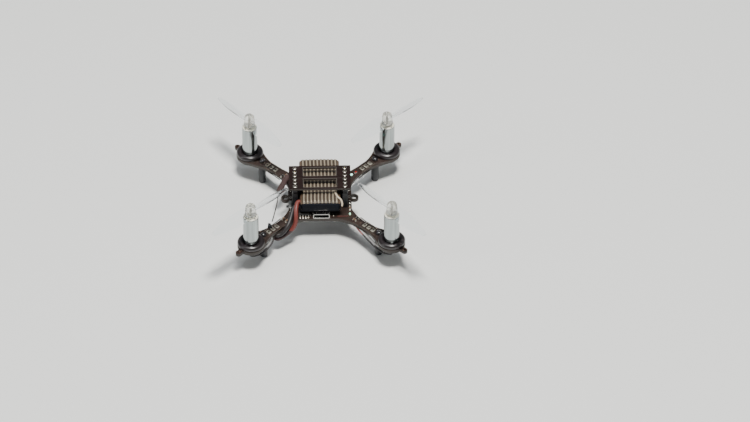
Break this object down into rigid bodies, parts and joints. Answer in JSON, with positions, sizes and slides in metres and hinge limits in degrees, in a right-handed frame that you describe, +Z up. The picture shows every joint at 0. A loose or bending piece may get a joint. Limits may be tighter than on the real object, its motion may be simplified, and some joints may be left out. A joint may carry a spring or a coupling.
{
  "type": "quadcopter drone",
  "caption": "Micro quadcopter drone with an X-shaped circuit-board frame, coreless motors in rubber grommets, clear propellers and a pouch battery under a slotted top deck.",
  "frame": {"origin": "on the ground plane under the centre of the board, at the bottom of the landing legs", "axes": "+Z up, -Y towards the front edge with the USB socket, +X to the drone's side that is on the right when its front faces the viewer"},
  "size_m": [0.0982, 0.1006, 0.0351],
  "materials": {
    "antenna_sleeve": "dark brown shrink sleeve",
    "battery_end_tape": "navy-black insulating tape",
    "battery_foil": "soft silver pouch foil",
    "battery_ribs": "ribbed silver-tan wrap, soft sheen",
    "black_plastic": "moulded black, slightly satin",
    "black_wire": "black insulation",
    "board_laminate": "dark brown-black solder mask over glass-fibre laminate, satin gloss",
    "clear_plastic": "clear moulded plastic",
    "connector_plastic": "dark moulded nylon",
    "deck_laminate": "dark brown-black solder mask, satin gloss",
    "grommet_rubber": "glossy black rubber",
    "header_pins": "gold-flashed square pins in a black strip",
    "leg_plastic": "black moulded peg",
    "light_cyan": "lit cyan lamp",
    "light_green": "lit green lamp",
    "light_red": "lit red lamp",
    "motor_can_metal": "polished seamless can",
    "motor_cap_plastic": "pale moulded plug",
    "red_wire": "red silicone insulation",
    "screw_head": "glossy black round head on a thin stem",
    "shaft_steel": "ground steel shaft, enamelled copper coil",
    "shield_metal": "stamped shield can on a small board",
    "switch_metal": "small stamped steel frame",
    "usb_steel": "plated sheet steel",
    "white_wire": "white insulation"
  },
  "bodies": {
    "airframe": {"main_board": "board_laminate", "top_deck": "deck_laminate", "socket_header_left": "black_plastic", "socket_header_right": "black_plastic", "pin_header_left": "header_pins", "pin_header_right": "header_pins", "battery_sleeve": "battery_ribs", "battery_cell": "battery_foil", "battery_end": "battery_end_tape", "battery_lead_red": "red_wire", "battery_lead_black": "black_wire", "battery_plug": "connector_plastic", "battery_socket": "connector_plastic", "usb_shell": "usb_steel", "usb_tongue": "black_plastic", "processor_module": "shield_metal", "power_switch_body": "switch_metal", "antenna_sleeve": "antenna_sleeve", "antenna_wire": "black_wire", "antenna_clip": "black_plastic", "status_light_cyan": "light_cyan", "status_light_red": "light_red", "status_light_green": "light_green", "grommet_front_right": "grommet_rubber", "motor_can_front_right": "motor_can_metal", "motor_end_cap_front_right": "motor_cap_plastic", "landing_leg_front_right": "leg_plastic", "leg_screw_front_right": "screw_head", "motor_wire_inner_front_right": "white_wire", "motor_wire_outer_front_right": "black_wire", "grommet_front_left": "grommet_rubber", "motor_can_front_left": "motor_can_metal", "motor_end_cap_front_left": "motor_cap_plastic", "landing_leg_front_left": "leg_plastic", "leg_screw_front_left": "screw_head", "motor_wire_inner_front_left": "white_wire", "motor_wire_outer_front_left": "black_wire", "grommet_rear_right": "grommet_rubber", "motor_can_rear_right": "motor_can_metal", "motor_end_cap_rear_right": "motor_cap_plastic", "landing_leg_rear_right": "leg_plastic", "leg_screw_rear_right": "screw_head", "motor_wire_inner_rear_right": "white_wire", "motor_wire_outer_rear_right": "black_wire", "grommet_rear_left": "grommet_rubber", "motor_can_rear_left": "motor_can_metal", "motor_end_cap_rear_left": "motor_cap_plastic", "landing_leg_rear_left": "leg_plastic", "leg_screw_rear_left": "screw_head", "motor_wire_inner_rear_left": "white_wire", "motor_wire_outer_rear_left": "black_wire"},
    "power_switch_slider": {"power_switch_knob": "black_plastic"},
    "propeller_assembly_front_right": {"motor_rotor_front_right": "shaft_steel", "propeller_front_right": "clear_plastic"},
    "propeller_assembly_front_left": {"motor_rotor_front_left": "shaft_steel", "propeller_front_left": "clear_plastic"},
    "propeller_assembly_rear_right": {"motor_rotor_rear_right": "shaft_steel", "propeller_rear_right": "clear_plastic"},
    "propeller_assembly_rear_left": {"motor_rotor_rear_left": "shaft_steel", "propeller_rear_left": "clear_plastic"}
  },
  "joints": [
    {"name": "propeller_spin_front_right", "type": "hinge", "parent": "airframe", "child": "propeller_assembly_front_right", "pos_m": [0.03182, -0.03182, 0.03], "axis": [0, 0, 1], "continuous": true},
    {"name": "propeller_spin_front_left", "type": "hinge", "parent": "airframe", "child": "propeller_assembly_front_left", "pos_m": [-0.03182, -0.03182, 0.03], "axis": [0, 0, 1], "continuous": true},
    {"name": "propeller_spin_rear_right", "type": "hinge", "parent": "airframe", "child": "propeller_assembly_rear_right", "pos_m": [0.03182, 0.03182, 0.03], "axis": [0, 0, 1], "continuous": true},
    {"name": "propeller_spin_rear_left", "type": "hinge", "parent": "airframe", "child": "propeller_assembly_rear_left", "pos_m": [-0.03182, 0.03182, 0.03], "axis": [0, 0, 1], "continuous": true},
    {"name": "power_switch_slide", "type": "slide", "parent": "airframe", "child": "power_switch_slider", "axis": [0, 1, 0], "range_m": [0, 0.0015]}
  ]
}
